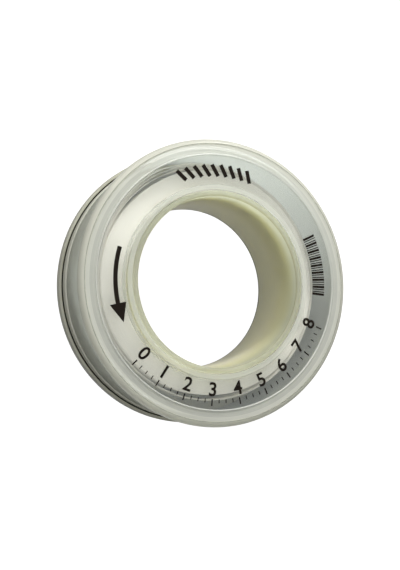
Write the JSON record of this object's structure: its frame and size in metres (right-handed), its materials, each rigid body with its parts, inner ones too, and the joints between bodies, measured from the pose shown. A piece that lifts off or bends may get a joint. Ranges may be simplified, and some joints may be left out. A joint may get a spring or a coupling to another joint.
{
  "type": "thread seal tape roll",
  "caption": "Flat roll of thread seal tape on a snap-together translucent spool, with a turning cover that pulls off and an open bore.",
  "frame": {"origin": "centre of the back flange's face, on which the roll lies", "axes": "+Z along the bore axis, towards the front face; +X to the right and +Y up as the front face is read"},
  "size_m": [0.052, 0.052, 0.0168],
  "materials": {
    "spool_plastic": "natural milky plastic, moulded satin",
    "cover_plastic": "natural translucent plastic, moulded satin",
    "tape": "soft matt film",
    "print_ink": "thin dark ink, printed on the face"
  },
  "bodies": {
    "spool": {"spool": "spool_plastic", "tape_winding": "tape"},
    "loose_turn": {"tape_loose_turn": "tape"},
    "cover": {"cover": "cover_plastic"}
  },
  "joints": [
    {"name": "cover_turn", "type": "hinge", "parent": "spool", "child": "loose_turn", "pos_m": [0, 0, 0.0084], "axis": [0, 0, 1], "continuous": true},
    {"name": "cover_pull", "type": "slide", "parent": "loose_turn", "child": "cover", "axis": [0, 0, 1], "range_m": [0, 0.02]}
  ]
}
